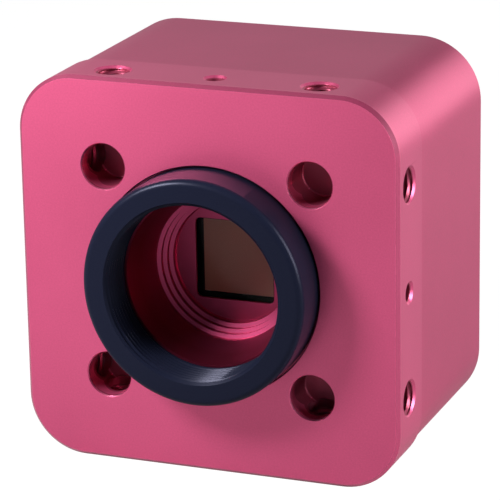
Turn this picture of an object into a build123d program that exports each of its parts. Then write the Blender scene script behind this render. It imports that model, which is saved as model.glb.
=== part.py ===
from build123d import *
import os
from math import cos, pi, sin, sqrt

# Compact machine vision camera with a C-mount lens thread, in millimetres.
# +X is the camera's left-to-right as seen from the front, +Z is up, and the lens looks along -Y.
# The origin is on the optical axis, in the plane of the housing's front face.
# A depth is a place along Y: negative in front of the housing's face, positive behind it.

# Clearances between mating pieces
slip_gap = 0.1          # parts that slide together by hand
thread_gap = 0.05       # radial, between a screw's outside and the wall of its hole
ring_thread_gap = 0.06  # radial, running fit of the lens ring in the housing
solder_gap = 0.05       # chips and frames in their pockets
overrun = 1.0           # how far a cutting tool runs past the face that it opens

# Housing, outside
face_width = 55.0
front_corner = 8.8
front_depth = 9.75
front_chamfer = 0.5
sleeve_step = 0.15      # the sleeve stands this far inside the front housing on every side
sleeve_corner = 9.7
rear_chamfer = 0.5
sleeve_wall = 2.8

# Lens ring, with the standard 1 inch by 32 thread left as a plain bore at its core size
ring_height = 6.0
ring_round = 0.55
ring_bore = 12.3
ring_mouth_chamfer = 0.55
ring_seat_depth = 1.2
ring_bore_end = 0.1
ring_step = 1.3         # from the bore out to the inside of the skirt behind it
ring_skirt_wall = 1.6
ring_shoulder = 0.8     # the collar stands this far outside the skirt
ring_skirt_end = 7.0
ring_skirt_chamfer = 0.3
recess_gap = 0.25       # the shadow gap around the ring in the front face
recess_chamfer = 0.15
ring_travel = 0.3       # free depth under the ring, for setting the back focus
flange_focal = 17.526   # front of the ring to the image, in air

# Light trap, let into the front housing: a smooth taper, then sharp undercut teeth, then a square window
trap_gap = 0.2          # radial, between the trap and the skirt that turns around it
trap_mouth_step = 0.2   # the trap's mouth is this much narrower than the ring's bore
trap_collar = 1.0
trap_start = 0.5
trap_teeth = 4
trap_tooth_in = 0.52
trap_tooth_back = 0.93
trap_undercut = 0.3
trap_undercut_back = 0.12
trap_floor_step = 0.96  # from the last tooth's crest back to the floor
trap_floor_edge = 0.14  # from the floor's edge out to the last tooth's crest
trap_floor_margin = 0.52  # from the window's sharp corner out to the floor's edge

# Image sensor and its seat
aperture_width = 11.6
aperture_corner = 0.8
web_thickness = 0.45
gasket_thickness = 0.25
gasket_inset = 0.15     # the gasket's opening is this much larger than the aperture, each side
gasket_edge = 0.35      # the gasket ends this far inside the edge of the sensor's glass
cover_glass_width = 16.4
cover_glass_thickness = 0.5
glass_index = 1.52
glass_die_gap = 0.3     # between the glass and the die
package_width = 19.0
package_thickness = 2.0
package_cavity = 14.2
package_corner = 0.6
package_gap = 0.2       # around the package in its pocket
die_width = 12.8
die_thickness = 0.5

# Board stack on four studded standoffs
screw_pitch = 30.0
boss_radius = 4.2
boss_height = 0.8
board_thickness = 1.6
board_gap = 3.0
board_margin = 2.55     # free space between the boards' edges and the sleeve
board_corner = 3.0
rear_bay = 10.0         # from the last board to the rear cover
spacer_radius = 2.75
standoff_flats = 5.5

# Screws
m3_radius = 1.5
m3_clearance = 0.15
stud_reach = 5.2        # how far the standoffs' studs reach into the front housing
stud_hole_spare = 0.4
standoff_thread = 6.0
rear_screw_length = 8.0
rear_head_radius = 2.8
rear_key_flats = 2.0
rear_key_depth = 1.1

# Blind flat-bottomed holes in the front face, on the same pitch as the threads in the sides
hole_pitch = 30.0
front_hole_radius = 3.2
front_hole_depth = 5.9
front_hole_chamfer = 0.15
front_hole_round = 0.25

# Mounting threads in the four sides, M5 by tap drill, and the M3 lock screws of the ring
side_hole_depth = 4.35  # behind the front face
side_hole_radius = 2.1
side_hole_bite = 0.7    # how far the side threads run into the front holes
drill_point = 0.6       # height of a drill's point, as a share of its radius
side_hole_mouth = 2.65
lock_hole_radius = 1.25
lock_hole_mouth = 1.65
lock_screw_length = 5.0
lock_screw_key_flats = 1.5
lock_screw_key_depth = 1.8
lock_tip_gap = 0.15
lock_tip_chamfer = 0.35

# Seal between the housings
seal_thickness = 0.5
seal_width = 1.2

# Rear cover
cover_thickness = 2.8
cover_sink = 0.2        # the cover's outside lies this far inside the sleeve's end
cover_ledge = 0.65      # width of the sleeve's ledge that carries the cover
cover_chamfer = 0.3

# Network socket in the rear cover
jack_z = -8.5
jack_width = 15.9
jack_height = 13.3
jack_reach = 0.4        # how far it stands out of the cover
jack_sheet = 0.25
jack_hole_gap = 0.15
jack_insert_sink = 0.2  # the moulded body ends this far inside its shield
plug_width = 11.9
plug_height = 7.0
plug_floor = -4.2       # lower side of the plug's space, from the socket's middle
plug_depth = 11.4
latch_width = 6.4
latch_height = 1.6
keel_width = 3.4
keel_height = 1.0
jack_light_width = 2.4
jack_light_height = 1.9
jack_light_depth = 1.2
jack_light_edge = 1.05  # from the shield's outside to a light window
jack_light_corner = 0.3
contact_count = 8
contact_pitch = 1.02
contact_width = 0.42
contact_thickness = 0.3
contact_rise = 1.3
contact_flat = 3.2      # level stretch at the rear of each wire
contact_toe = 1.4       # how thick the wire's root is along the floor
contact_mouth_gap = 2.2  # from the wires' front ends to the socket's mouth
plug_lock_x = 11.5
plug_lock_radius = 0.8

# Round power and trigger connector in the rear cover
round_z = 11.0
round_radius = 5.0
round_wall = 0.7
round_reach = 5.6       # how far it stands out of the cover
round_flange_radius = 6.4
round_flange = 1.5
round_barrel = 5.7      # how far the shell reaches in behind the cover's inner face
round_recess = 4.0
round_mouth_chamfer = 0.25
round_nut_flats = 13.0
round_nut_height = 1.6
round_nut_crown = 0.4   # how far outside the flats the nut's corner chamfer starts
round_key_width = 1.4
round_key_height = 0.6
round_key_sink = 0.4    # the key ends this far inside the mouth
pin_radius = 0.25
pin_gap = 0.02
pin_tip_sink = 1.2      # the pins end this far inside the shell's mouth
outer_pins = 9
outer_pin_circle = 2.9
inner_pins = 3
inner_pin_circle = 1.2

# Status light
light_x = 11.0
light_z = 3.5
light_radius = 1.3
light_head_radius = 1.6
light_head_height = 1.0
light_proud = 0.2
light_round = 0.15
light_lamp_gap = 0.2
led_width = 1.6
led_height = 0.8
led_thickness = 0.7

# Parts on the boards
link_width = 20.0
link_depth = 4.0
link_corner = 0.4
link_slot_width = 17.0
link_slot_depth = 1.6
link_slot_height = 1.8
link_socket_height = 2.3
link_tongue_gap = 0.2
link_edge = 1.5         # from the board's upper edge to a link
chip_corner = 0.2
chip_edge = 1.5         # from the boards' sides to the outer chips
processor_width = 15.0
processor_thickness = 1.6
memory_width = 8.0
memory_height = 9.0
memory_thickness = 1.0
network_chip_width = 7.0
network_chip_thickness = 0.9
network_chip_z = -4.0
magnetics_width = 12.0
magnetics_thickness = 4.0
magnetics_gap = 0.65    # below the network socket
magnetics_edge = 0.2    # above the board's lower edge
inductor_width = 6.0
inductor_thickness = 3.0
inductor_corner = 0.8
inductor_gap = 2.9      # between the capacitors and the inductor
inductor_z = 4.0
capacitor_count = 3
capacitor_pitch = 4.5
capacitor_radius = 1.6
capacitor_height = 2.4
capacitor_edge = 2.4    # from the board's side to the capacitors
capacitor_z = 0.5       # middle of their row
pad_width = 5.0
pad_margin = 1.0        # between the round opening and the pads
pad_boss_gap = 2.8      # between the bosses and the pads

# Places that follow from the values above
ring_skirt_bore = ring_bore + ring_step
ring_skirt_radius = ring_skirt_bore + ring_skirt_wall
ring_radius = ring_skirt_radius + ring_shoulder
trap_outside = ring_skirt_bore - trap_gap
trap_mouth = ring_bore - trap_mouth_step
trap_collar_radius = ring_skirt_radius - slip_gap
trap_floor_radius = aperture_width / sqrt(2) + trap_floor_margin
trap_first_radius = trap_floor_radius + trap_floor_edge + (trap_teeth - 1) * trap_tooth_in
half_face = face_width / 2
sleeve_half = half_face - sleeve_step
sleeve_inside = sleeve_half - sleeve_wall
board_half = sleeve_inside - board_margin
link_z = board_half - link_edge - link_depth / 2
memory_x = board_half - chip_edge - memory_width / 2
network_chip_x = board_half - chip_edge - network_chip_width / 2
capacitor_x = capacitor_edge + capacitor_radius - board_half
inductor_x = capacitor_x + capacitor_radius + inductor_gap + inductor_width / 2
magnetics_top = jack_z - jack_height / 2 - magnetics_gap
magnetics_bottom = magnetics_edge - board_half
pad_x = trap_outside + slip_gap + pad_margin + pad_width / 2
pad_height = screw_pitch - 2 * (boss_radius + pad_boss_gap)
jack_light_x = (jack_width - jack_light_width) / 2 - jack_light_edge
jack_light_z = (jack_height - jack_light_height) / 2 - jack_light_edge
side_hole_end = hole_pitch / 2 + front_hole_radius - side_hole_bite

# Depths that follow from the values above. The image's place sets all the others.
glass_shift = cover_glass_thickness * (1 - 1 / glass_index)
image_depth = flange_focal - ring_height + glass_shift
glass_back = image_depth - glass_die_gap
glass_front = glass_back - cover_glass_thickness
web_back = glass_front - gasket_thickness
trap_floor = web_back - web_thickness
trap_cone_end = trap_floor - trap_floor_step - (trap_teeth - 1) * trap_tooth_back
trap_collar_front = ring_skirt_end + ring_travel
trap_seat = trap_collar_front + trap_collar
package_back = glass_back + package_thickness
sensor_board_front = package_back
spigot_back = sensor_board_front - boss_height
stud_depth = sensor_board_front - stud_reach
sensor_board_back = sensor_board_front + board_thickness
processor_board_front = sensor_board_back + board_gap
processor_board_back = processor_board_front + board_thickness
interface_board_front = processor_board_back + board_gap
interface_board_back = interface_board_front + board_thickness
cover_front = interface_board_back + rear_bay
cover_back = cover_front + cover_thickness
housing_depth = cover_back + cover_sink
jack_back = cover_back + jack_reach
round_start = cover_front - round_barrel
round_mouth = cover_back + round_reach


def square_places(pitch):
    """Corners of a square about the optical axis."""
    return [(x, z) for x in (-pitch / 2, pitch / 2) for z in (-pitch / 2, pitch / 2)]


column_places = square_places(screw_pitch)


def prism(outline, front, back):
    """Push an outline, drawn as X and Z, from depth front to depth back."""
    plane = Plane(origin=(0, back, 0), x_dir=(1, 0, 0), z_dir=(0, -1, 0))
    return extrude(plane * outline, amount=back - front)


def block(width, height, front, back, x=0.0, z=0.0, corner=0.0):
    """Rectangular block, with its four long edges rounded where a corner is given."""
    outline = RectangleRounded(width, height, corner) if corner > 0 else Rectangle(width, height)
    return prism(Pos(x, z) * outline, front, back)


def disc(radius, front, back, x=0.0, z=0.0):
    """Round bar along the optical axis."""
    return prism(Pos(x, z) * Circle(radius), front, back)


def hexagon(flats, front, back, x=0.0, z=0.0):
    """Six-sided bar, measured across its flats."""
    return prism(Pos(x, z) * RegularPolygon(flats / 2, 6, major_radius=False), front, back)


def turned(points):
    """Ring turned about the optical axis from a section given as (radius, depth) points."""
    return revolve(make_face(Polyline(*points, close=True)), axis=Axis.Y)


def cone(front_radius, back_radius, front, back, x=0.0, z=0.0):
    """Tapered bar along the optical axis."""
    return Pos(x, 0, z) * turned([(0, front), (front_radius, front), (back_radius, back), (0, back)])


def rims(solid, radius, depth):
    """The round edges of one radius that lie at one depth."""
    found = solid.edges().filter_by(GeomType.CIRCLE)
    level = [edge for edge in found if abs(edge.arc_center.Y - depth) < 0.001]
    return [edge for edge in level if abs(edge.radius - radius) < 0.001]


def around_sides(piece):
    """Copies of a piece made for the top, turned to the four sides."""
    return [Rot(0, 90 * turn, 0) * piece for turn in range(4)]


def upright_hole(radius, bottom, mouth, x, point=0.0):
    """Tool that drills down from the top face: a countersunk mouth, a round wall and a drill point."""
    drill = revolve(make_face(Polyline(
        (0, half_face + overrun), (mouth, half_face + overrun), (mouth, half_face),
        (radius, half_face - (mouth - radius)), (radius, bottom), (0, bottom - point), close=True,
    )), axis=Axis.Y)
    return Pos(x, side_hole_depth, 0) * Rot(90, 0, 0) * drill


def front_hole(x, z):
    """Tool for a flat-bottomed hole in the front face, with a small chamfer and a rounded floor."""
    tool = disc(front_hole_radius, -overrun, front_hole_depth, x, z)
    tool = fillet(rims(tool, front_hole_radius, front_hole_depth), front_hole_round)
    rim = front_hole_radius + front_hole_chamfer
    return tool + cone(rim, front_hole_radius, 0, front_hole_chamfer, x, z)


def board(front):
    """Circuit board with rounded corners and four screw holes."""
    back = front + board_thickness
    plate = block(2 * board_half, 2 * board_half, front, back, corner=board_corner)
    for x, z in column_places:
        plate -= disc(m3_radius + m3_clearance, front - overrun, back + overrun, x, z)
    return plate


def front_housing():
    """Milled front block: stepped bore for the ring and the light trap, spigot, and holes from five sides."""
    body = block(face_width, face_width, 0, front_depth, corner=front_corner)
    body = chamfer(body.faces().sort_by(Axis.Y)[0].edges(), front_chamfer)
    spigot_half = sleeve_inside - slip_gap
    spigot_corner = sleeve_corner - sleeve_wall - slip_gap
    spigot = block(2 * spigot_half, 2 * spigot_half, front_depth, sensor_board_front, corner=spigot_corner)
    body += spigot & block(face_width, face_width, front_depth, spigot_back)
    for x, z in column_places:
        body += spigot & disc(boss_radius, spigot_back, sensor_board_front, x, z)

    recess = ring_radius + recess_gap
    body -= turned([
        (0, -overrun),
        (recess + recess_chamfer + overrun, -overrun),
        (recess, recess_chamfer),
        (recess, ring_seat_depth + ring_travel),
        (ring_skirt_radius + ring_thread_gap, ring_seat_depth + ring_travel),
        (ring_skirt_radius + ring_thread_gap, trap_seat),
        (trap_outside + slip_gap, trap_seat),
        (trap_outside + slip_gap, spigot_back + overrun),
        (0, spigot_back + overrun),
    ])
    pocket = package_width + 2 * package_gap
    body -= block(pocket, pocket, glass_back, spigot_back + overrun, corner=package_corner)

    for x, z in square_places(hole_pitch):
        body -= front_hole(x, z)
    for x, z in column_places:
        body -= disc(m3_radius + thread_gap, stud_depth - stud_hole_spare, sensor_board_front + overrun, x, z)

    point = side_hole_radius * drill_point
    for x in (-hole_pitch / 2, hole_pitch / 2):
        for tool in around_sides(upright_hole(side_hole_radius, side_hole_end, side_hole_mouth, x, point)):
            body -= tool
    for tool in around_sides(upright_hole(lock_hole_radius, ring_skirt_radius, lock_hole_mouth, 0)):
        body -= tool

    seal_outer = 2 * (sleeve_inside + seal_width)
    seal_corner = sleeve_corner - sleeve_wall
    groove_front = front_depth - seal_thickness
    groove = block(seal_outer, seal_outer, groove_front, front_depth, corner=seal_corner + seal_width)
    groove -= block(2 * spigot_half, 2 * spigot_half, 0, front_depth, corner=spigot_corner)
    return body - groove


def light_trap():
    """Turned tube in front of the sensor. Its undercut teeth swallow the light that grazes the wall."""
    section = [
        (trap_outside, trap_start), (trap_outside, trap_collar_front),
        (trap_collar_radius, trap_collar_front), (trap_collar_radius, trap_seat),
        (trap_outside, trap_seat), (trap_outside, web_back),
        (0, web_back), (0, trap_floor), (trap_floor_radius, trap_floor),
    ]
    for tooth in reversed(range(trap_teeth)):
        crest = trap_first_radius - tooth * trap_tooth_in
        depth = trap_cone_end + tooth * trap_tooth_back
        section += [(crest + trap_undercut, depth + trap_undercut_back), (crest, depth)]
    section += [(trap_mouth, trap_start)]
    window = block(
        aperture_width, aperture_width, trap_floor - overrun, web_back + overrun, corner=aperture_corner
    )
    return turned(section) - window


def housing_seal():
    """Flat rubber frame pressed between the front housing and the sleeve."""
    outer = 2 * (sleeve_inside + seal_width) - 2 * solder_gap
    inner = 2 * sleeve_inside
    corner = sleeve_corner - sleeve_wall
    outer_corner = corner + seal_width - solder_gap
    frame = block(outer, outer, front_depth - seal_thickness, front_depth, corner=outer_corner)
    return frame - block(inner, inner, 0, front_depth + overrun, corner=corner)


def rear_housing():
    """Square sleeve behind the front housing, with a ledge near its end for the rear cover."""
    body = block(2 * sleeve_half, 2 * sleeve_half, front_depth, housing_depth, corner=sleeve_corner)
    body = chamfer(body.faces().sort_by(Axis.Y)[-1].edges(), rear_chamfer)
    inner_corner = sleeve_corner - sleeve_wall
    end = housing_depth + overrun
    body -= block(2 * sleeve_inside, 2 * sleeve_inside, 0, end, corner=inner_corner)
    seat = 2 * (sleeve_inside + cover_ledge)
    return body - block(seat, seat, cover_front, end, corner=inner_corner + cover_ledge)


def jack_outline(gap):
    """Outline of the network socket, grown by a gap on every side."""
    return Pos(0, jack_z) * Rectangle(jack_width + 2 * gap, jack_height + 2 * gap)


def rear_cover():
    """Plate let into the sleeve's end, with cut-outs for the sockets and the status light."""
    width = 2 * (sleeve_inside + cover_ledge - slip_gap)
    corner = sleeve_corner - sleeve_wall + cover_ledge - slip_gap
    plate = block(width, width, cover_front, cover_back, corner=corner)
    plate = chamfer(plate.faces().sort_by(Axis.Y)[-1].edges(), cover_chamfer)
    front, back = cover_front - overrun, cover_back + overrun
    plate -= prism(jack_outline(jack_hole_gap), front, back)
    plate -= disc(round_radius + solder_gap, front, back, 0, round_z)
    plate -= disc(light_radius + solder_gap, front, back, light_x, light_z)
    head_front = cover_back - (rear_head_radius - m3_radius)
    for x, z in column_places:
        plate -= disc(m3_radius + m3_clearance, front, back, x, z)
        plate -= cone(m3_radius + thread_gap, rear_head_radius + thread_gap, head_front, cover_back, x, z)
    for x in (-plug_lock_x, plug_lock_x):
        plate -= disc(plug_lock_radius, front, back, x, jack_z)
    return plate


def c_mount_ring():
    """Lens ring: a collar in front of the housing and a threaded skirt around the light trap."""
    body = turned([
        (ring_bore + ring_mouth_chamfer, -ring_height),
        (ring_radius, -ring_height),
        (ring_radius, ring_seat_depth),
        (ring_skirt_radius, ring_seat_depth),
        (ring_skirt_radius, ring_skirt_end),
        (ring_skirt_bore, ring_skirt_end),
        (ring_skirt_bore, ring_bore_end),
        (ring_bore, ring_bore_end),
        (ring_bore, ring_mouth_chamfer - ring_height),
    ])
    body = fillet(rims(body, ring_radius, -ring_height), ring_round)
    return chamfer(rims(body, ring_skirt_radius, ring_skirt_end), ring_skirt_chamfer)


def ring_lock_screws():
    """Headless hexagon-socket screws that lock the lens ring, one from each side."""
    tip = ring_skirt_radius + lock_tip_gap
    radius = lock_hole_radius - thread_gap
    body = Pos(0, 0, tip + lock_screw_length / 2) * Cylinder(radius, lock_screw_length)
    ends = body.edges().filter_by(GeomType.CIRCLE).sort_by(Axis.Z)
    body = chamfer([ends[0]], lock_tip_chamfer)
    key = RegularPolygon(lock_screw_key_flats / 2, 6, major_radius=False)
    top = tip + lock_screw_length
    body -= extrude(Pos(0, 0, top - lock_screw_key_depth) * key, amount=lock_screw_key_depth + overrun)
    return around_sides(Pos(0, side_hole_depth, 0) * body)


def rear_screw(x, z):
    """Countersunk screw that holds the rear cover to a standoff."""
    drop = rear_head_radius - m3_radius
    body = disc(m3_radius, cover_back - rear_screw_length, cover_back - drop, x, z)
    body += cone(m3_radius, rear_head_radius, cover_back - drop, cover_back, x, z)
    return body - hexagon(rear_key_flats, cover_back - rear_key_depth, cover_back + overrun, x, z)


def spacer(front, back, x, z):
    """Plain tube that keeps two boards apart."""
    hole = disc(m3_radius + m3_clearance, front - overrun, back + overrun, x, z)
    return disc(spacer_radius, front, back, x, z) - hole


def standoff(x, z):
    """Six-sided pillar behind the last board, with a long stud that holds the stack to the front housing."""
    body = hexagon(standoff_flats, interface_board_back, cover_front, x, z)
    body += disc(m3_radius, stud_depth, interface_board_back, x, z)
    return body - disc(m3_radius + thread_gap, cover_front - standoff_thread, cover_front + overrun, x, z)


def window_gasket():
    """Black rubber frame between the aperture web and the sensor's glass."""
    inner = aperture_width + 2 * gasket_inset
    outer = cover_glass_width - 2 * gasket_edge
    frame = block(outer, outer, web_back, glass_front, corner=aperture_corner + (outer - inner) / 2)
    return frame - block(inner, inner, web_back - overrun, glass_front + overrun, corner=aperture_corner)


def sensor_package():
    """Ceramic tray of the image sensor, open towards the lens."""
    tray = block(package_width, package_width, glass_back, package_back, corner=package_corner)
    floor = image_depth + die_thickness
    return tray - block(package_cavity, package_cavity, glass_back - overrun, floor, corner=package_corner)


def link_socket(front):
    """Board-to-board socket with a long slot, standing on the rear of a board."""
    back = front + link_socket_height
    body = block(link_width, link_depth, front, back, z=link_z, corner=link_corner)
    return body - block(link_slot_width, link_slot_depth, back - link_slot_height, back + overrun, z=link_z)


def link_header(front):
    """Board-to-board plug whose tongue fills the slot of the socket in front of it."""
    base = front + link_socket_height
    body = block(link_width, link_depth, base, front + board_gap, z=link_z, corner=link_corner)
    width = link_slot_width - 2 * link_tongue_gap
    depth = link_slot_depth - 2 * link_tongue_gap
    return body + block(width, depth, base - link_slot_height + link_tongue_gap, base, z=link_z)


def jack_shell():
    """Folded sheet shield of the network socket, open at its mouth and at the board."""
    body = prism(jack_outline(0), interface_board_back, jack_back)
    return body - prism(jack_outline(-jack_sheet), interface_board_back - overrun, jack_back + overrun)


def jack_insert():
    """Moulded body inside the shield, with the space for the plug, its latch and two light windows."""
    body = prism(jack_outline(-jack_sheet - solder_gap), interface_board_back, jack_back - jack_insert_sink)
    start, end = jack_back - plug_depth, jack_back + overrun
    bottom = jack_z + plug_floor
    for width, height in ((plug_width, plug_height), (latch_width, latch_height), (keel_width, keel_height)):
        body -= block(width, height, start, end, z=bottom + height / 2)
        bottom += height
    window_width = jack_light_width + 2 * solder_gap
    window_height = jack_light_height + 2 * solder_gap
    start = jack_back - jack_insert_sink - jack_light_depth
    for x in (-jack_light_x, jack_light_x):
        body -= block(window_width, window_height, start, end, x, jack_z + jack_light_z)
    return body


def jack_lights():
    """Two small clear windows beside the latch."""
    front = jack_back - jack_insert_sink - jack_light_depth
    back = jack_back - jack_insert_sink / 2
    return [
        block(jack_light_width, jack_light_height, front, back, x, jack_z + jack_light_z, jack_light_corner)
        for x in (-jack_light_x, jack_light_x)
    ]


def jack_contacts():
    """Eight sprung wires that slope up from the floor of the plug's space."""
    floor = jack_z + plug_floor
    start = jack_back - plug_depth
    end = jack_back - contact_mouth_gap
    knee = start + contact_flat
    rise = floor + contact_rise
    section = make_face(Polyline(
        (start, rise), (knee, rise), (end, floor), (end - contact_toe, floor),
        (knee, rise - contact_thickness), (start, rise - contact_thickness), close=True,
    ))
    plane = Plane(origin=(0, 0, 0), x_dir=(0, 1, 0), z_dir=(1, 0, 0))
    wire = extrude(plane * section, amount=contact_width / 2, both=True)
    first = -(contact_count - 1) / 2 * contact_pitch
    return [Pos(first + number * contact_pitch, 0, 0) * wire for number in range(contact_count)]


def round_shell():
    """Metal shell of the power and trigger connector, with its collar behind the rear cover."""
    body = disc(round_radius, round_start, round_mouth, 0, round_z)
    body += disc(round_flange_radius, cover_front - round_flange, cover_front, 0, round_z)
    body = chamfer(rims(body, round_radius, round_mouth), round_mouth_chamfer)
    bore = round_radius - round_wall
    body -= disc(bore, round_start - overrun, round_mouth + overrun, 0, round_z)
    top = bore + round_wall / 2
    height = round_key_height + round_wall / 2
    start, end = round_mouth - round_recess, round_mouth - round_key_sink
    key = block(round_key_width, height, start, end, 0, round_z + top - height / 2)
    return body + (key & disc(top, start, end, 0, round_z))


def pin_places():
    """Middles of the twelve pins: an outer and an inner circle."""
    places = []
    for count, circle in ((outer_pins, outer_pin_circle), (inner_pins, inner_pin_circle)):
        for number in range(count):
            angle = 2 * pi * (number + 0.5) / count - pi / 2
            places.append((circle * cos(angle), round_z + circle * sin(angle)))
    return places


def round_insert():
    """Insulating disc that holds the pins deep in the shell."""
    face = round_mouth - round_recess - slip_gap
    body = disc(round_radius - round_wall - solder_gap, round_start, face, 0, round_z)
    for x, z in pin_places():
        body -= disc(pin_radius + pin_gap, round_start - overrun, face + overrun, x, z)
    return body


def round_pins():
    """Gold pins from the interface board to the connector's mouth."""
    return [disc(pin_radius, interface_board_back, round_mouth - pin_tip_sink, x, z) for x, z in pin_places()]


def round_nut():
    """Thin nut that clamps the round connector to the cover."""
    back = cover_back + round_nut_height
    body = hexagon(round_nut_flats, cover_back, back, 0, round_z)
    crown = round_nut_flats / 2 + round_nut_crown
    body = body & cone(crown + round_nut_height, crown, cover_back, back, 0, round_z)
    return body - disc(round_radius + thread_gap, cover_back - overrun, back + overrun, 0, round_z)


def status_light():
    """Clear light guide from the lamp on the board through the rear cover."""
    start = interface_board_back + led_thickness + light_lamp_gap
    body = disc(light_radius, start, cover_back + light_proud, light_x, light_z)
    body += disc(light_head_radius, cover_front - light_head_height, cover_front, light_x, light_z)
    return fillet(rims(body, light_radius, cover_back + light_proud), light_round)


def chip(width, height, board_back, thickness, x=0.0, z=0.0, corner=chip_corner):
    """Moulded component that lies flat on the rear of a board."""
    return block(width, height, board_back, board_back + thickness, x, z, corner)


def capacitors():
    """Round cans in a row on the interface board."""
    back = interface_board_back + capacitor_height
    lowest = capacitor_z - (capacitor_count - 1) / 2 * capacitor_pitch
    heights = [lowest + number * capacitor_pitch for number in range(capacitor_count)]
    return [disc(capacitor_radius, interface_board_back, back, capacitor_x, z) for z in heights]


nodes = {
    "front_housing": front_housing(),
    "rear_housing": rear_housing(),
    "rear_cover": rear_cover(),
    "housing_seal": housing_seal(),
    "light_trap": light_trap(),
    "c_mount_ring": c_mount_ring(),
    "ring_lock_screws": ring_lock_screws(),
    "rear_cover_screws": [rear_screw(x, z) for x, z in column_places],
    "window_gasket": window_gasket(),
    "sensor_cover_glass": block(
        cover_glass_width, cover_glass_width, glass_front, glass_back, corner=package_corner
    ),
    "sensor_package": sensor_package(),
    "sensor_die": block(die_width, die_width, image_depth, image_depth + die_thickness),
    "sensor_board": board(sensor_board_front),
    "processor_board": board(processor_board_front),
    "interface_board": board(interface_board_front),
    "front_spacers": [spacer(sensor_board_back, processor_board_front, x, z) for x, z in column_places],
    "rear_spacers": [spacer(processor_board_back, interface_board_front, x, z) for x, z in column_places],
    "cover_standoffs": [standoff(x, z) for x, z in column_places],
    "sensor_link_socket": link_socket(sensor_board_back),
    "sensor_link_header": link_header(sensor_board_back),
    "interface_link_socket": link_socket(processor_board_back),
    "interface_link_header": link_header(processor_board_back),
    "thermal_pads": [
        block(pad_width, pad_height, spigot_back, sensor_board_front, x, 0) for x in (-pad_x, pad_x)
    ],
    "processor_chip": chip(processor_width, processor_width, processor_board_back, processor_thickness),
    "memory_chips": [
        chip(memory_width, memory_height, processor_board_back, memory_thickness, x)
        for x in (-memory_x, memory_x)
    ],
    "network_chip": chip(
        network_chip_width, network_chip_width, interface_board_back, network_chip_thickness,
        network_chip_x, network_chip_z,
    ),
    "network_magnetics": chip(
        magnetics_width, magnetics_top - magnetics_bottom, interface_board_back, magnetics_thickness,
        0, (magnetics_top + magnetics_bottom) / 2,
    ),
    "power_inductor": chip(
        inductor_width, inductor_width, interface_board_back, inductor_thickness,
        inductor_x, inductor_z, inductor_corner,
    ),
    "power_capacitors": capacitors(),
    "network_jack_shell": jack_shell(),
    "network_jack_insert": jack_insert(),
    "network_jack_contacts": jack_contacts(),
    "network_jack_lights": jack_lights(),
    "round_connector_shell": round_shell(),
    "round_connector_insert": round_insert(),
    "round_connector_pins": round_pins(),
    "round_connector_nut": round_nut(),
    "status_light_guide": status_light(),
    "status_lamp": chip(led_width, led_height, interface_board_back, led_thickness, light_x, light_z, 0.0),
}

os.makedirs("parts", exist_ok=True)
for name, shape in nodes.items():
    pieces = shape if isinstance(shape, list) else [shape]
    solids = [solid for piece in pieces for solid in piece.solids()]
    export_step(Compound(children=solids), f"parts/{name}.step")
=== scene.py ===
import bmesh
import bpy
import numpy as np
from mathutils import Matrix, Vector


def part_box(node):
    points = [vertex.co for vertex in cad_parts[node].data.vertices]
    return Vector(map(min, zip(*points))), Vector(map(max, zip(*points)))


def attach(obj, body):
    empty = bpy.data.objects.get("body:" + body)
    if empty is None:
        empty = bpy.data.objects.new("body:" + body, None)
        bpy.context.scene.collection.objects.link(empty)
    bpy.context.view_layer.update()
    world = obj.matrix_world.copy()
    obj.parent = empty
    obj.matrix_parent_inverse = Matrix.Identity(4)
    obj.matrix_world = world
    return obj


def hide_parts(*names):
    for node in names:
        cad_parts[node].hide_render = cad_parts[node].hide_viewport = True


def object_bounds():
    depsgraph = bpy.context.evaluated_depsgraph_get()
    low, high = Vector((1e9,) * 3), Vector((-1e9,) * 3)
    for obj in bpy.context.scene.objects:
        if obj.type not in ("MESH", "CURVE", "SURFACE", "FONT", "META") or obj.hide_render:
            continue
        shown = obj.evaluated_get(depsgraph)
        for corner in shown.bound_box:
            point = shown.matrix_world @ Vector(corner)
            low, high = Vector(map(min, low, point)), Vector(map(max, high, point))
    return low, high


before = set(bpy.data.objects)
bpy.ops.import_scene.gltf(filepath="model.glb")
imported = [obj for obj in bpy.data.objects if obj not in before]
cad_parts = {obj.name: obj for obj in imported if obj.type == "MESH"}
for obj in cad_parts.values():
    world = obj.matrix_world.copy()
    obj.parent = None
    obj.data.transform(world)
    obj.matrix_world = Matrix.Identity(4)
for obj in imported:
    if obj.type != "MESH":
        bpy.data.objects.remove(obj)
cad_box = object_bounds()


# Camera. The photograph was taken with a long lens about 0.4 m away, from the right and a little
# above. These angles and distances put the housing's outlines and all its holes on their places
# in the photograph, which is square.
mm = 0.001
scene = bpy.context.scene
scene.view_settings.view_transform = "Standard"


def aim_camera(yaw, pitch, roll, distance, aside, up, focal):
    """Camera on a line from the origin, turned by yaw and pitch, then moved aside and up in its own
    plane. Angles are in radians and lengths in millimetres."""
    back = np.array([np.sin(yaw) * np.cos(pitch), -np.cos(yaw) * np.cos(pitch), np.sin(pitch)])
    flat_right = np.cross(-back, (0, 0, 1))
    flat_right = flat_right / np.linalg.norm(flat_right)
    flat_up = np.cross(flat_right, -back)
    right = np.cos(roll) * flat_right + np.sin(roll) * flat_up
    above = -np.sin(roll) * flat_right + np.cos(roll) * flat_up
    place = back * distance + right * aside + above * up
    lens = bpy.data.cameras.new("camera")
    lens.sensor_width, lens.lens = 36.0, focal
    lens.clip_start, lens.clip_end = 0.01, 20.0
    camera = bpy.data.objects.new("camera", lens)
    turn = np.column_stack([right, above, back])
    camera.matrix_world = Matrix.Translation(place * mm) @ Matrix(turn.tolist()).to_4x4()
    scene.collection.objects.link(camera)
    scene.camera = camera


aim_camera(
    yaw=0.3776, pitch=0.3028, roll=-0.0173,
    distance=405.25, aside=5.8403, up=4.3661, focal=214.745,
)


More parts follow.
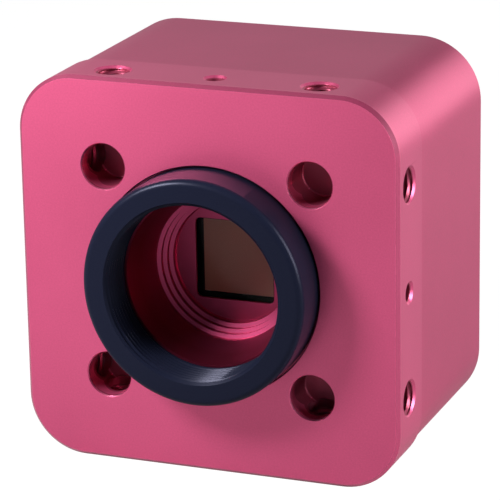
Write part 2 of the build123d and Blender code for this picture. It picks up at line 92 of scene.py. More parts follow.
# Table. A plain matt top under the camera, far larger than the view. It is painted grey, but glows
# enough to look pure white in the picture, and still takes the soft shadow of the housing.
class Wire:
    """One value in a material's nodes. Arithmetic on it adds Math nodes, and node() adds any other."""

    def __init__(self, tree, socket=None):
        self.tree = tree
        self.socket = socket

    def node(self, kind, settings=(), inputs=(), out=0):
        """Adds a node, sets its settings first, then fills its sockets with numbers or links."""
        made = self.tree.nodes.new("ShaderNode" + kind)
        for key, value in dict(settings).items():
            setattr(made, key, value)
        for key, value in dict(inputs).items():
            if isinstance(value, Wire):
                self.tree.links.new(value.socket, made.inputs[key])
            else:
                made.inputs[key].default_value = value
        return Wire(self.tree, made.outputs[out])

    def math(self, operation, first, second=0.0):
        """Math node on one or two numbers or links."""
        return self.node("Math", {"operation": operation}, {0: first, 1: second})

    def __add__(self, other):
        return self.math("ADD", self, other)

    def __radd__(self, other):
        return self.math("ADD", other, self)

    def __sub__(self, other):
        return self.math("SUBTRACT", self, other)

    def __rsub__(self, other):
        return self.math("SUBTRACT", other, self)

    def __mul__(self, other):
        return self.math("MULTIPLY", self, other)

    def __rmul__(self, other):
        return self.math("MULTIPLY", other, self)

    def __gt__(self, other):
        return self.math("GREATER_THAN", self, other)

    def __lt__(self, other):
        return self.math("LESS_THAN", self, other)

    def __abs__(self):
        return self.math("ABSOLUTE", self)

    def axes(self):
        """The three parts of a vector."""
        split = self.node("SeparateXYZ", inputs={0: self}).socket.node
        return [Wire(self.tree, part) for part in split.outputs]

    def blend(self, low, high):
        """Colour between low and high, by this value from 0 to 1. A Mix node's sockets are numbered
        for every kind of data, and these are the ones for colours."""
        factor, first, second, result = 0, 6, 7, 2
        inputs = {factor: self, first: low, second: high}
        return self.node("Mix", {"data_type": "RGBA"}, inputs, out=result)

    def rays(self, *kinds):
        """1 on the light rays of each of these kinds."""
        return [self.node("LightPath", out=f"Is {kind} Ray") for kind in kinds]


def new_material(name):
    """Empty material: its Wire to build with, and the function that sends a shader to its output."""
    material = bpy.data.materials.new(name)
    material.use_nodes = True
    tree = material.node_tree
    tree.nodes.clear()
    output = tree.nodes.new("ShaderNodeOutputMaterial")
    return material, Wire(tree), lambda shader: tree.links.new(shader.socket, output.inputs["Surface"])


def table_paint():
    """Grey paint, under a glow that is strong to the camera and weak in reflections."""
    glow_seen, glow_mirrored = 0.8, 0.12
    material, wire, finish = new_material("white_table")
    paint = wire.node("BsdfDiffuse", inputs={"Color": (0.30, 0.30, 0.30, 1)})
    glow = wire.node("Emission", inputs={"Color": (1, 1, 1, 1), "Strength": 1.22})
    camera, glossy, through = wire.rays("Camera", "Glossy", "Transmission")
    share = wire.math("MAXIMUM", camera, through) * glow_seen + glossy * glow_mirrored
    finish(wire.node("MixShader", inputs={0: share, 1: paint, 2: glow}))
    return material


def table_top(reach=3.0, across=9):
    """Flat square sheet on a grid of equal steps, at the level of the housing's underside."""
    steps = np.linspace(-reach, reach, across)
    points = np.stack(np.broadcast_arrays(steps[None, :], steps[:, None], cad_box[0][2]), -1)
    index = np.arange(across * across).reshape(across, across)
    quads = np.stack([index[:-1, :-1], index[:-1, 1:], index[1:, 1:], index[1:, :-1]], -1)
    mesh = bpy.data.meshes.new("table_top")
    mesh.from_pydata(points.reshape(-1, 3).tolist(), [], quads.reshape(-1, 4).tolist())
    mesh.shade_smooth()
    mesh.materials.append(table_paint())
    table = bpy.data.objects.new("table_top", mesh)
    scene.collection.objects.link(table)


table_top()


# Lamps. A small soft box hangs at the upper left of the front face, so close that the face falls off
# towards its lower right corner. A large one stands at the right, another behind the right rear
# corner and a weak panel far behind at the left, in an even pale room.
def soft_box(name, place, target, size, power):
    """Rectangular lamp that faces its target. Lengths are in metres and the power in watts."""
    lamp = bpy.data.lights.new(name, "AREA")
    lamp.shape, lamp.energy = "RECTANGLE", power
    lamp.size, lamp.size_y = size
    box = bpy.data.objects.new(name, lamp)
    back = np.array(place) - np.array(target)
    back = back / np.linalg.norm(back)
    right = np.cross((0, 0, 1), back)
    right = right / np.linalg.norm(right)
    turn = np.column_stack([right, np.cross(back, right), back])
    box.matrix_world = Matrix.Translation(place) @ Matrix(turn.tolist()).to_4x4()
    scene.collection.objects.link(box)


soft_box(
    "key_lamp", place=(-0.090, -0.088, 0.092), target=(-0.008, 0, 0.008),
    size=(0.045, 0.045), power=0.48,
)
soft_box("side_lamp", place=(0.50, 0.02, 0.18), target=(0, 0.02, 0), size=(0.25, 0.30), power=4.2)
soft_box(
    "rim_lamp", place=(0.265, 0.53, 0.105), target=(0.02, 0.02, 0.02),
    size=(0.36, 0.36), power=0.55,
)
soft_box("back_panel", place=(-0.42, 1.06, 0.36), target=(0, 0, 0), size=(0.9, 0.5), power=0.50)


def room(haze_low=-0.05, haze_high=0.12, haze_mirrored=0.5):
    """White to the camera, half white in reflections up to the horizon, and dim and cool above it."""
    world = bpy.data.worlds.new("room")
    world.use_nodes = True
    tree = world.node_tree
    tree.nodes.clear()
    wire = Wire(tree)
    height = wire.node("TexCoord", out="Generated").axes()[2]
    haze = wire.node("MapRange", {"interpolation_type": "SMOOTHSTEP"}, {
        "Value": height, "From Min": haze_low, "From Max": haze_high, "To Min": 1.0, "To Max": 0.0,
    })
    camera, glossy, through = wire.rays("Camera", "Glossy", "Transmission")
    white = wire.math("MAXIMUM", wire.math("MAXIMUM", camera, through), glossy * haze * haze_mirrored)
    air = wire.node("Background", inputs={"Color": (0.85, 0.9, 1.0, 1), "Strength": 0.09})
    glow = wire.node("Background", inputs={"Color": (1, 1, 1, 1), "Strength": 1.0})
    shader = wire.node("MixShader", inputs={0: white, 1: air, 2: glow})
    output = tree.nodes.new("ShaderNodeOutputWorld")
    tree.links.new(shader.socket, output.inputs["Surface"])
    scene.world = world


room()


# Front housing. Milled from one block of aluminium, bead-blasted and anodised pink. The ring's
# recess, the trap's bore and four blind holes are cut into its front, and two M5 threads and a
# lock screw's hole into each of its four sides.
def cad_corners(node):
    """Lowest and highest corner of a CAD piece, in millimetres."""
    return [np.array(corner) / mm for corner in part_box(node)]


sleeve_low, sleeve_high = cad_corners("rear_housing")
ring_low, ring_high = cad_corners("c_mount_ring")
trap_low, trap_high = cad_corners("light_trap")
half_face, spigot_back = cad_corners("front_housing")[1][:2]
front_depth = sleeve_low[1]
recess_radius = ring_high[0] + 0.25
recess_floor = 1.5
skirt_radius = 15.2
skirt_hole_radius = 15.26
trap_hole_radius = 13.5
trap_seat = 8.3
hole_pitch = 30.0
front_chamfer = 0.5
thread_depth = 4.35
rim = 0.15     # chamfer of the holes' rims
past = 1.0     # cutters reach this far past the faces that they go through
hold = 0.3     # a loop this far from an edge keeps the flat beside it flat in shading


def rounded_square(half, corner, side_points=8, corner_points=20):
    """Closed loop of (x, z) from one quarter turned four times. A quarter is a side, whose points
    crowd to its ends by the cosine, then a quarter circle about the corner's centre."""
    spread = (1 - np.cos(np.linspace(0, np.pi, side_points, endpoint=False))) / 2
    side = np.stack([np.full(side_points, half), (2 * spread - 1) * (half - corner)], -1)
    angle = np.linspace(0, np.pi / 2, corner_points, endpoint=False)
    bend = half - corner + corner * np.stack([np.cos(angle), np.sin(angle)], -1)
    quarter = np.concatenate([side, bend])
    turn = np.array([[0.0, 1.0], [-1.0, 0.0]])
    return np.concatenate([quarter @ np.linalg.matrix_power(turn, step) for step in range(4)])


def full_turn(sides):
    """Equal steps of angle around a circle."""
    return np.arange(sides) * 2 * np.pi / sides


def along_y(loop, depth):
    """Loop of (x, z) set at a depth behind the front face."""
    return np.stack([loop[:, 0], np.full(len(loop), float(depth)), loop[:, 1]], -1)


def circle(radius, depth, sides=128, x=0.0, z=0.0):
    """Loop of equal steps around the optical axis, or around another axis beside it."""
    angle = full_turn(sides)
    return along_y(np.stack([x + radius * np.cos(angle), z + radius * np.sin(angle)], -1), depth)


def square_loops(outline):
    """One rounded square for each (half width, corner radius, depth)."""
    return [along_y(rounded_square(half, corner), depth) for half, corner, depth in outline]


def skin(name, loops, closed=False):
    """Mesh of quads between each loop and the next. It ends in two flat caps, or closes on its
    first loop."""
    loops = np.asarray(loops, float)
    index = np.arange(loops.shape[0] * loops.shape[1]).reshape(loops.shape[:2])
    rows = np.vstack([index, index[:1]]) if closed else index
    near, far = rows[:-1], rows[1:]
    quads = np.stack([near, np.roll(near, -1, 1), np.roll(far, -1, 1), far], -1).reshape(-1, 4)
    caps = [] if closed else [index[0].tolist(), index[-1].tolist()]
    mesh = bpy.data.meshes.new(name)
    mesh.from_pydata((loops.reshape(-1, 3) * mm).tolist(), [], quads.tolist() + caps)
    work = bmesh.new()
    work.from_mesh(mesh)
    bmesh.ops.recalc_face_normals(work, faces=work.faces)
    work.to_mesh(mesh)
    work.free()
    return mesh


def joined(name, meshes):
    """One mesh out of several."""
    work = bmesh.new()
    for mesh in meshes:
        work.from_mesh(mesh)
        bpy.data.meshes.remove(mesh)
    mesh = bpy.data.meshes.new(name)
    work.to_mesh(mesh)
    work.free()
    return mesh


def carve(mesh, *tools):
    """Takes the tools' shapes out of a mesh, one after the other."""
    for tool in tools:
        body = bpy.data.objects.new("body", mesh)
        cutter = bpy.data.objects.new("cutter", tool)
        scene.collection.objects.link(body)
        scene.collection.objects.link(cutter)
        cut = body.modifiers.new("cut", "BOOLEAN")
        cut.operation, cut.solver, cut.object = "DIFFERENCE", "EXACT", cutter
        depsgraph = bpy.context.evaluated_depsgraph_get()
        mesh = bpy.data.meshes.new_from_object(body.evaluated_get(depsgraph))
        for used in (body, cutter):
            data = used.data
            bpy.data.objects.remove(used)
            bpy.data.meshes.remove(data)
    return mesh


def show(name, mesh, material, body, slot, *nodes):
    """Puts a finished mesh in the scene on its body, in place of the nodes that it stands for."""
    sharp_degrees = 28
    mesh.name = name
    mesh.shade_smooth()
    mesh.set_sharp_from_angle(angle=np.radians(sharp_degrees))
    mesh.materials.clear()
    mesh.materials.append(material)
    piece = bpy.data.objects.new(name, mesh)
    scene.collection.objects.link(piece)
    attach(piece, body)
    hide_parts(*nodes)


def turned_tool(profile, x=0.0, z=0.0, sides=128):
    """Round cutter along the optical axis, or an axis beside it, from (radius, depth) points."""
    return skin("turned_tool", [circle(radius, depth, sides, x, z) for radius, depth in profile])


def front_hole_tool(x, z, radius=3.2, depth=5.9, edge=0.25):
    """Flat-bottomed cutter with a small chamfer at the rim and a rounded edge at the floor."""
    halfway = 3.0
    angle = np.linspace(0, np.pi / 2, 6)
    wall = [(radius + rim + past, -past), (radius, rim), (radius, halfway)]
    floor = zip(radius - edge + edge * np.cos(angle), depth - edge + edge * np.sin(angle))
    return turned_tool([*wall, *floor], x, z, sides=72)


def side_tool(across, height, x=0.0):
    """Round cutter for the top side: at each height, points at these distances from its axis."""
    angle = full_turn(across.shape[1])
    return skin("side_tool", np.stack([
        x + across * np.cos(angle), thread_depth + across * np.sin(angle),
        np.broadcast_to(height[:, None], across.shape),
    ], -1))


def tooth_height(along, angle, pitch, steepness, flat):
    """Height of a thread's teeth from 0 to 1: a triangle wave of length over pitch less turns,
    multiplied by its steepness, lowered by the flat and cut off at 0 and 1."""
    phase = (along[:, None] / pitch - angle[None, :] / (2 * np.pi)) % 1.0
    return np.clip(steepness * (1 - np.abs(2 * phase - 1)) - flat, 0, 1)


def thread_tool(x, minor=2.1, major=2.5, pitch=0.8, length=10.0, mouth=2.65, sides=40):
    """Screw-shaped cutter. Its radius goes from minor to major with the teeth's height, which fades
    out before the end, or is the countersink's where that is wider. It ends in a drill's cone."""
    bare, run_out, rows_per_turn = 0.9, 0.8, 8
    tip_radius, tip_length = 0.15, 1.2
    down = np.arange(0.0, length + 0.01, pitch / rows_per_turn)
    teeth = tooth_height(down, full_turn(sides), pitch, steepness=1.15, flat=0.05)
    fade = np.clip((length - bare - down) / run_out, 0, 1)[:, None]
    radius = np.maximum(minor + (major - minor) * fade * teeth, (mouth - down)[:, None])
    start = np.full((1, sides), mouth + past)
    tip = np.full((1, sides), tip_radius)
    down = np.concatenate([[-past], down, [length + tip_length]])
    return side_tool(np.concatenate([start, radius, tip]), half_face - down, x)


def lock_screw_tool(radius=1.25, mouth=1.65, sides=32):
    """Plain cutter down to the ring's skirt, with a small countersunk mouth."""
    across = np.array([mouth + past, mouth, radius, radius])
    height = np.array([half_face + past, half_face, half_face - mouth + radius, skirt_radius])
    return side_tool(np.repeat(across[:, None], sides, 1), height)


def turned_over(mesh, quarters):
    """Turns a tool made for the top side to another side, about the optical axis."""
    mesh.transform(Matrix.Rotation(quarters * np.pi / 2, 4, "Y"))
    return mesh


def front_housing_mesh():
    """Rounded block with its spigot, less the stepped bore, the front holes and the side holes."""
    corner, chamfer, edge = 8.3, front_chamfer, 0.08
    spigot_half, spigot_corner = 24.45, 6.8
    block = skin("front_housing", square_loops([
        (half_face - chamfer, corner - chamfer, 0.0), (half_face, corner, chamfer),
        (half_face, corner, chamfer + hold), (half_face, corner, front_depth - edge - hold),
        (half_face, corner, front_depth - edge), (half_face - edge, corner - edge, front_depth),
        (spigot_half, spigot_corner, front_depth), (spigot_half, spigot_corner, spigot_back),
    ]))
    bore = turned_tool([
        (recess_radius + rim + past, -past), (recess_radius, rim), (recess_radius, recess_floor),
        (skirt_hole_radius, recess_floor), (skirt_hole_radius, trap_seat),
        (trap_hole_radius, trap_seat), (trap_hole_radius, spigot_back + past),
    ], sides=192)
    places = (-hole_pitch / 2, hole_pitch / 2)
    holes = joined("front_holes", [front_hole_tool(x, z) for x in places for z in places])
    pairs = [
        joined("side_holes", [
            turned_over(tool, quarters)
            for quarters in (first, first + 2)
            for tool in (thread_tool(places[0]), thread_tool(places[1]), lock_screw_tool())
        ])
        for first in (0, 1)
    ]
    return carve(block, bore, holes, *pairs)


def in_a_hole(wire, place):
    """1 on the floors of the front holes and inside the side holes: nearer to the hole's axis than
    a radius, and deeper than a rim."""
    floor_radius, floor_rim = 2.65, 0.25
    side_radius, side_rim = 2.6, 0.3
    x, y, z = (part * (1 / mm) for part in place.axes())
    x, z = abs(x), abs(z)
    pitch = hole_pitch / 2
    beside_x, beside_z = (wire.math("MINIMUM", part, abs(part - pitch)) for part in (x, z))

    def near(first, second, radius):
        return wire.math("SQRT", first * first + second * second) < radius

    front = near(x - pitch, z - pitch, floor_radius) * (y > floor_rim)
    top = near(y - thread_depth, beside_x, side_radius) * (z < half_face - side_rim)
    side = near(y - thread_depth, beside_z, side_radius) * (x < half_face - side_rim)
    return wire.math("MAXIMUM", front, wire.math("MAXIMUM", top, side))


def pink_anodised(name, metallic, coat, holes=False, taper=None):
    """Dyed aluminium: a coloured metal under a clear skin, with the fine grain of blasting and
    faint clouding. With holes, their floors and threads get a darker colour as painted shade for those
    recesses, and the chamfer that is cut after blasting is smoother. A taper is a pair of depths over
    which the colour is painted shade, darkest at the mouth and lighter deeper in."""
    dark_dye, pale_dye = (0.53, 0.056, 0.152, 1), (0.83, 0.108, 0.270, 1)
    # Painted shade colour for the floors of the front holes and the insides of the side holes.
    painted_hole_shade = (0.32, 0.032, 0.082, 1)
    # Painted shade colours along the light trap: darkest at the mouth, where the ring's shadow falls.
    painted_mouth_shade, painted_inner_shade = (0.25, 0.024, 0.060, 1), (0.42, 0.054, 0.135, 1)
    chamfer_start, chamfer_gloss = 0.02, 0.25
    material, wire, finish = new_material(name)
    place = wire.node("TexCoord", out="Object")
    grain = wire.node("TexNoise", inputs={
        "Vector": place, "Scale": 4000.0, "Detail": 3.0, "Roughness": 0.6,
    })
    cloud = wire.node("TexNoise", inputs={"Vector": place, "Scale": 55.0, "Detail": 2.0})
    tone = cloud * 0.4 + grain * 0.6
    colour = tone.blend(dark_dye, pale_dye)
    roughness = 0.38 + 0.10 * grain
    if holes:
        depth = place.axes()[1]
        # Painted shade: the holes' floors and the side holes' threads take a darker colour.
        colour = in_a_hole(wire, place).blend(colour, painted_hole_shade)
        on_chamfer = (depth > chamfer_start * mm) * (depth < front_chamfer * mm)
        roughness = roughness - chamfer_gloss * on_chamfer
    if taper:
        depth = place.axes()[1]
        fade = wire.node("MapRange", inputs={
            "Value": depth, "From Min": taper[0] * mm, "From Max": taper[1] * mm,
        })
        # Painted shade: the trap's colour goes from dark at the mouth to lighter deeper in, by depth
        # alone.
        colour = fade.blend(painted_mouth_shade, painted_inner_shade)
    bump = wire.node("Bump", inputs={"Strength": 0.28, "Distance": 0.00004, "Height": grain})
    finish(wire.node("BsdfPrincipled", inputs={
        "Base Color": colour, "Metallic": metallic, "Roughness": roughness, "Normal": bump,
        "Coat Weight": coat, "Coat Roughness": 0.42,
    }))
    return material


# holes=True paints shade into the front and side holes.
front_pink = pink_anodised("pink_anodised_front", metallic=0.75, coat=0.6, holes=True)
milled = front_housing_mesh()
show("milled_front_housing", milled, front_pink, "housing", "pink_anodised", "front_housing")


# Sleeve. A square extruded tube behind the front housing, milled, blasted and anodised with it. It
# is a hair smaller, so a fine step shows where the two meet, and a ledge in its end holds the cover.
def sleeve_mesh():
    """Loops around the wall: outside from the front to the rear chamfer, then back along the inside."""
    half, corner, chamfer, edge = 27.4, 8.9, 0.5, 0.08
    inside, inner, ledge = 24.55, 6.9, 0.65
    end = sleeve_high[1]
    ledge_front = cad_corners("rear_cover")[0][1]
    seat, seat_corner = inside + ledge, inner + ledge
    return skin("sleeve", square_loops([
        (half - edge, corner - edge, front_depth), (half, corner, front_depth + edge),
        (half, corner, front_depth + edge + hold), (half, corner, end - chamfer - hold),
        (half, corner, end - chamfer), (half - chamfer, corner - chamfer, end),
        (seat + edge, seat_corner + edge, end), (seat, seat_corner, end - edge),
        (seat, seat_corner, ledge_front), (inside, inner, ledge_front), (inside, inner, front_depth),
    ]), closed=True)


rear_pink = pink_anodised("pink_anodised_rear", metallic=0.85, coat=0.45)
show("square_sleeve", sleeve_mesh(), rear_pink, "housing", "pink_anodised", "rear_housing")


# Rear cover. A milled plate, anodised like the housing, let into the end of the sleeve and held by
# four countersunk screws. Its cut-outs take the network socket, the round connector and the light.
def box_tool(width, height, front, back, z):
    """Square-cornered cutter along the optical axis."""
    loop = np.array([(1, -1), (1, 1), (-1, 1), (-1, -1)]) * (width / 2, height / 2) + (0, z)
    return skin("box_tool", [along_y(loop, front), along_y(loop, back)])


def rear_cover_mesh():
    """Rounded plate, less the screws' holes, the round holes and the network socket's opening."""
    low, high = cad_corners("rear_cover")
    half, corner, chamfer, round_rim = high[0], 7.45, 0.3, 0.12
    shank, head, screw_places = 1.65, 2.85, (-15.0, 15.0)
    socket_width, socket_height, socket_level = 16.2, 13.6, -8.5
    connector_hole, light_hole = (5.05, 0.0, 11.0), (1.35, 11.0, 3.5)
    plug_screw_holes = [(0.8, x, socket_level) for x in (-11.5, 11.5)]
    plate = skin("rear_cover", square_loops([
        (half, corner, low[1]), (half, corner, high[1] - chamfer),
        (half - chamfer, corner - chamfer, high[1]),
    ]))
    front, back = low[1] - past, high[1] + past
    shank_end = high[1] - head + shank
    countersink = [(shank, front), (shank, shank_end), (head, high[1]), (head + past, back)]
    heads = [turned_tool(countersink, x, z, sides=48) for x in screw_places for z in screw_places]
    holes = []
    for radius, x, z in (connector_hole, light_hole, *plug_screw_holes):
        profile = [(radius, front), (radius, high[1] - round_rim), (radius + round_rim + past, back)]
        holes.append(turned_tool(profile, x, z, sides=64))
    opening = box_tool(socket_width, socket_height, front, back, socket_level)
    return carve(plate, joined("round_tools", heads + holes), opening)


cover_pink = pink_anodised("pink_anodised", metallic=0.75, coat=0.6)
show("milled_rear_cover", rear_cover_mesh(), cover_pink, "housing", "pink_anodised", "rear_cover")


# Light trap. Turned from aluminium, dyed with the housing and pressed in behind the ring. A smooth
# taper, darkened with painted shade towards the mouth, leads to four sharp steps that catch stray
# light, then a thin floor with the square window.
def window_loop(half, corner, depth, sides):
    """Rounded square sampled at equal angles: the wall or the corner's arc, whichever the ray meets."""
    angle = full_turn(sides)
    along = np.abs(np.cos(angle)), np.abs(np.sin(angle))
    wall = half / np.maximum(*along)
    middle = half - corner
    reach = middle * (along[0] + along[1])
    arc = reach + np.sqrt(np.maximum(reach ** 2 - 2 * middle ** 2 + corner ** 2, 0.0))
    radius = np.where(np.minimum(*along) * wall > middle, arc, wall)
    return along_y(np.stack([radius * np.cos(angle), radius * np.sin(angle)], -1), depth)


def light_trap_mesh(sides=320):
    """Loops from the outside of the tube over its mouth, down the taper and the steps, to the
    window and back. Each step is one rise wider and one pitch nearer the mouth than the next."""
    outside, collar, collar_width, mouth, start = 13.4, trap_high[0], 1.0, 12.1, trap_low[1]
    web_back = trap_high[1]
    floor, floor_radius, aperture, corner, edge = web_back - 0.45, 8.72, 5.8, 0.8, 0.02
    last_crest, last_depth, rise, pitch = floor_radius + 0.14, floor - 0.96, 0.52, 0.93
    relief, lead, land = 0.03, 0.05, 0.74
    section = [
        (outside, web_back), (outside, trap_seat), (collar, trap_seat),
        (collar, trap_seat - collar_width), (outside, trap_seat - collar_width),
        (outside, start), (mouth, start),
    ]
    for left in (3, 2, 1, 0):
        crest = last_crest + left * rise
        depth = last_depth - left * pitch
        section += [(crest, depth), (crest + relief, depth + lead), (crest + relief, depth + land)]
    section.append((floor_radius, floor))
    loops = [circle(radius, depth, sides) for radius, depth in section]
    loops.append(window_loop(aperture + edge, corner, floor, sides))
    loops.append(window_loop(aperture, corner, floor + edge, sides))
    loops.append(window_loop(aperture, corner, web_back, sides))
    return skin("light_trap", loops, closed=True)


# The taper's two depths set where the painted shade runs from dark to lighter.
inside_pink = pink_anodised("pink_anodised_inside", metallic=1.0, coat=0.0, taper=(3.0, 7.0))
show("turned_light_trap", light_trap_mesh(), inside_pink, "housing", "pink_anodised", "light_trap")


# Lens ring. Turned from aluminium and anodised black. Its bore carries the 1 inch by 32 lens thread,
# and its skirt turns in the housing to set the focus, until the small screws in the sides lock it.
def lens_ring_mesh(sides=288):
    """Section carried around the axis. The rounding's last loop is doubled, so that its shading
    stays apart from the side's. In the bore the radius is the core size plus the teeth's height,
    which fades in from the bore's end, or is the mouth's chamfer where that is wider."""
    height, radius, edge = -ring_low[1], ring_high[0], 1.0
    end, seat, skirt_bore, chamfer = ring_high[1], 1.2, 13.6, 0.3
    bore, bore_end, pitch, depth, mouth = 12.3, 0.1, 25.4 / 32, 0.42, 12.85
    run_in, lip, rows_per_turn = 0.5, 0.05, 10
    bend = np.linspace(0, np.pi / 2, 13)
    outer = zip(radius - edge + edge * np.sin(bend), -height + edge - edge * np.cos(bend))
    section = [
        (mouth, -height), *outer, (radius, -height + edge), (radius, seat - hold), (radius, seat),
        (skirt_radius, seat), (skirt_radius, end - chamfer), (skirt_radius - chamfer, end),
        (skirt_bore, end), (skirt_bore, bore_end),
    ]
    plain = np.array([circle(reach, level, sides) for reach, level in section])
    angle = full_turn(sides)
    level = np.arange(bore_end, lip - height, -pitch / rows_per_turn)
    teeth = tooth_height(level, angle, pitch, steepness=1.2, flat=0.1)
    fade = np.clip((bore_end - level) / run_in, 0, 1)[:, None]
    across = np.maximum(bore + depth * teeth * fade, (mouth - height - level)[:, None])
    level = np.broadcast_to(level[:, None], across.shape)
    thread = np.stack([across * np.cos(angle), level, across * np.sin(angle)], -1)
    return skin("lens_ring", np.concatenate([plain, thread]), closed=True)


def black_anodised(line_scale=9000.0):
    """Black dyed aluminium with the fine rings of turning, a little rougher where a cut went deeper.
    The rings are noise over the distance from the axis and the depth, so they run around the axis."""
    dark_dye, pale_dye = (0.005, 0.006, 0.015, 1), (0.009, 0.011, 0.024, 1)
    material, wire, finish = new_material("black_anodised")
    place = wire.node("TexCoord", out="Object")
    x, y, z = place.axes()
    across = wire.math("SQRT", x * x + z * z)
    turns = wire.node("TexNoise", {"noise_dimensions": "2D"}, {
        "Vector": wire.node("CombineXYZ", inputs={0: across * line_scale, 1: y * line_scale}),
        "Scale": 1.0, "Detail": 2.0,
    })
    grain = wire.node("TexNoise", inputs={"Vector": place, "Scale": 4000.0, "Detail": 2.0})
    relief = turns + grain * 0.5
    bump = wire.node("Bump", inputs={"Strength": 0.08, "Distance": 0.00002, "Height": relief})
    finish(wire.node("BsdfPrincipled", inputs={
        "Base Color": grain.blend(dark_dye, pale_dye), "Metallic": 0.0, "Normal": bump,
        "Roughness": 0.27 + 0.08 * turns, "IOR": 1.2, "Specular Tint": (0.72, 0.72, 1.0, 1),
    }))
    return material


show("threaded_lens_ring", lens_ring_mesh(), black_anodised(), "ring", "black_anodised", "c_mount_ring")


# Image sensor. A silicon die under a thin cover glass in its ceramic tray. The active area shows
# brown, with a black border and a narrow strip of circuits along its lower edge.
def dress(material, *nodes):
    """Gives CAD pieces their material."""
    for node in nodes:
        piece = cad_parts[node]
        piece.data.materials.clear()
        piece.data.materials.append(material)


def silicon():
    """Brown within the active area, green-grey in the strip below it and black elsewhere."""
    active_x, active_z = 5.15, 5.26
    strip_x, strip_top = 5.3, -5.47
    black, brown, circuits = (0.004, 0.004, 0.005, 1), (0.55, 0.22, 0.16, 1), (0.024, 0.030, 0.024, 1)
    material, wire, finish = new_material("silicon")
    x, y, z = wire.node("TexCoord", out="Object").axes()
    active = (abs(x) < active_x * mm) * (abs(z) < active_z * mm)
    strip = (z < strip_top * mm) * (abs(x) < strip_x * mm)
    colour = strip.blend(active.blend(black, brown), circuits)
    finish(wire.node("BsdfPrincipled", inputs={
        "Base Color": colour, "Roughness": 0.28 - 0.08 * active, "Metallic": 0.0, "IOR": 1.25,
    }))
    return material


def speckled(name, dark, light, scale, roughness, metallic=0.0, bump=0.1):
    """Plain material with a fine grain in its colour, gloss and height."""
    material, wire, finish = new_material(name)
    place = wire.node("TexCoord", out="Object")
    grain = wire.node("TexNoise", inputs={"Vector": place, "Scale": scale, "Detail": 3.0})
    height = wire.node("Bump", inputs={"Strength": bump, "Distance": 0.00003, "Height": grain})
    finish(wire.node("BsdfPrincipled", inputs={
        "Base Color": grain.blend((*dark, 1), (*light, 1)), "Metallic": metallic, "IOR": 1.5,
        "Roughness": roughness + 0.12 * grain, "Normal": height,
    }))
    return material


def cover_glass():
    """Thin flat glass: mostly see-through, with its own mirror-like gloss."""
    material, wire, finish = new_material("cover_glass")
    edge = wire.node("LayerWeight", inputs={"Blend": 0.35}, out="Fresnel")
    finish(wire.node("BsdfPrincipled", inputs={
        "Base Color": (0.03, 0.03, 0.03, 1), "Roughness": 0.03, "Alpha": 0.04 + 0.35 * edge,
        "IOR": 1.5,
    }))
    return material


ceramic = speckled(
    "ceramic", dark=(0.02, 0.018, 0.018), light=(0.03, 0.028, 0.028),
    scale=2500, roughness=0.35,
)
dress(silicon(), "sensor_die")
dress(cover_glass(), "sensor_cover_glass")
dress(ceramic, "sensor_package")


# Rubber and pads. The black seal between the housings and the frame under the sensor's glass are
# cut from sheet, and the grey strips carry the sensor board's heat into the front housing.
rubber = speckled(
    "black_rubber", dark=(0.008, 0.008, 0.008), light=(0.02, 0.02, 0.02),
    scale=1800, roughness=0.7, bump=0.3,
)
grey_pad = speckled(
    "grey_pad", dark=(0.15, 0.16, 0.18), light=(0.22, 0.23, 0.25),
    scale=900, roughness=0.8, bump=0.3,
)
dress(rubber, "housing_seal", "window_gasket")
dress(grey_pad, "thermal_pads")


# Screws, spacers and standoffs. Stock steel and nickel-plated brass: black lock screws in the sides,
# black countersunk screws in the cover, and the plated columns that carry the boards.
black_steel = speckled(
    "black_steel", dark=(0.015, 0.015, 0.017), light=(0.035, 0.035, 0.04),
    scale=3000, roughness=0.32, metallic=0.8, bump=0.15,
)
nickel = speckled(
    "brass_nickel", dark=(0.50, 0.47, 0.40), light=(0.60, 0.57, 0.50),
    scale=2600, roughness=0.22, metallic=1.0, bump=0.12,
)
dress(black_steel, "ring_lock_screws", "rear_cover_screws")
dress(nickel, "front_spacers", "rear_spacers", "cover_standoffs")


# Circuit boards. Glass-fibre boards under green solder mask, with copper tracks that show as lines
# in another green. The moulded chips and sockets on them are plain black and ivory, and the
# capacitors stand in tinned cans.
def circuit_board():
    """Tracks from a fine brick pattern, in the colour and as a slight relief."""
    material, wire, finish = new_material("circuit_board")
    place = wire.node("TexCoord", out="Object")
    brick = {"Vector": place, "Scale": 900.0, "Mortar Size": 0.03}
    tracks = wire.node("TexBrick", inputs=brick, out="Fac")
    cloud = wire.node("TexNoise", inputs={"Vector": place, "Scale": 120.0})
    colour = (tracks * 0.6 + cloud * 0.3).blend((0.012, 0.09, 0.035, 1), (0.03, 0.20, 0.08, 1))
    bump = wire.node("Bump", inputs={"Strength": 0.2, "Distance": 0.00003, "Height": tracks})
    finish(wire.node("BsdfPrincipled", inputs={
        "Base Color": colour, "Roughness": 0.35 + 0.1 * cloud, "Normal": bump,
    }))
    return material


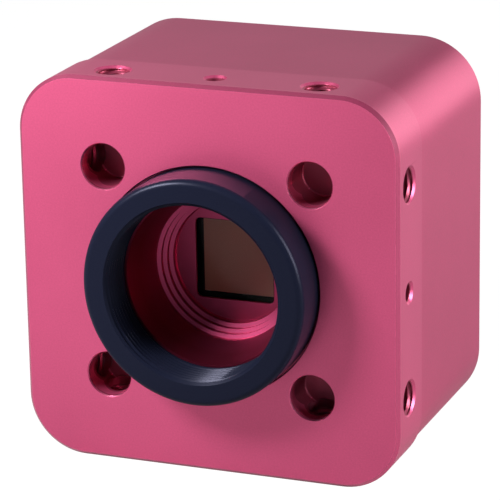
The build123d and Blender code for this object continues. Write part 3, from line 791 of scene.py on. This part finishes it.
chip_black = speckled(
    "chip_black", dark=(0.012, 0.012, 0.013), light=(0.028, 0.028, 0.03),
    scale=3500, roughness=0.5, bump=0.25,
)
ivory = speckled(
    "connector_ivory", dark=(0.52, 0.47, 0.36), light=(0.60, 0.55, 0.43),
    scale=1500, roughness=0.45,
)
tin = speckled(
    "tinned_steel", dark=(0.55, 0.55, 0.56), light=(0.68, 0.68, 0.69),
    scale=1400, roughness=0.18, metallic=1.0, bump=0.1,
)
dress(circuit_board(), "sensor_board", "processor_board", "interface_board")
dress(chip_black, "processor_chip", "memory_chips", "network_chip", "network_magnetics")
dress(chip_black, "power_inductor")
dress(ivory, "sensor_link_socket", "sensor_link_header")
dress(ivory, "interface_link_socket", "interface_link_header")
dress(tin, "power_capacitors")


# Network socket and round connector. The socket is a folded tinned shield around a black moulding
# with eight sprung gold wires, and the connector a plated shell with twelve gold pins.
moulding = speckled(
    "connector_black", dark=(0.012, 0.012, 0.012), light=(0.022, 0.022, 0.022),
    scale=2500, roughness=0.42, bump=0.2,
)
gold = speckled(
    "gold", dark=(0.75, 0.52, 0.20), light=(0.85, 0.62, 0.27),
    scale=3000, roughness=0.18, metallic=1.0, bump=0.08,
)
dress(tin, "network_jack_shell")
dress(nickel, "round_connector_shell", "round_connector_nut")
dress(moulding, "network_jack_insert", "round_connector_insert")
dress(gold, "network_jack_contacts", "round_connector_pins")


# Lights. Clear moulded windows beside the network socket and the round guide in the cover, which
# brings the small lamp's light out from the board.
def clear_plastic():
    """Pale glossy moulding with a faint haze."""
    material, wire, finish = new_material("clear_plastic")
    place = wire.node("TexCoord", out="Object")
    haze = wire.node("TexNoise", inputs={"Vector": place, "Scale": 700.0})
    finish(wire.node("BsdfPrincipled", inputs={
        "Base Color": haze.blend((0.60, 0.64, 0.60, 1), (0.72, 0.76, 0.72, 1)),
        "Roughness": 0.12 + 0.08 * haze, "IOR": 1.5, "Coat Weight": 0.4,
    }))
    return material


lamp = speckled(
    "lamp", dark=(0.75, 0.73, 0.55), light=(0.85, 0.83, 0.66),
    scale=2000, roughness=0.3,
)
dress(clear_plastic(), "status_light_guide", "network_jack_lights")
dress(lamp, "status_lamp")
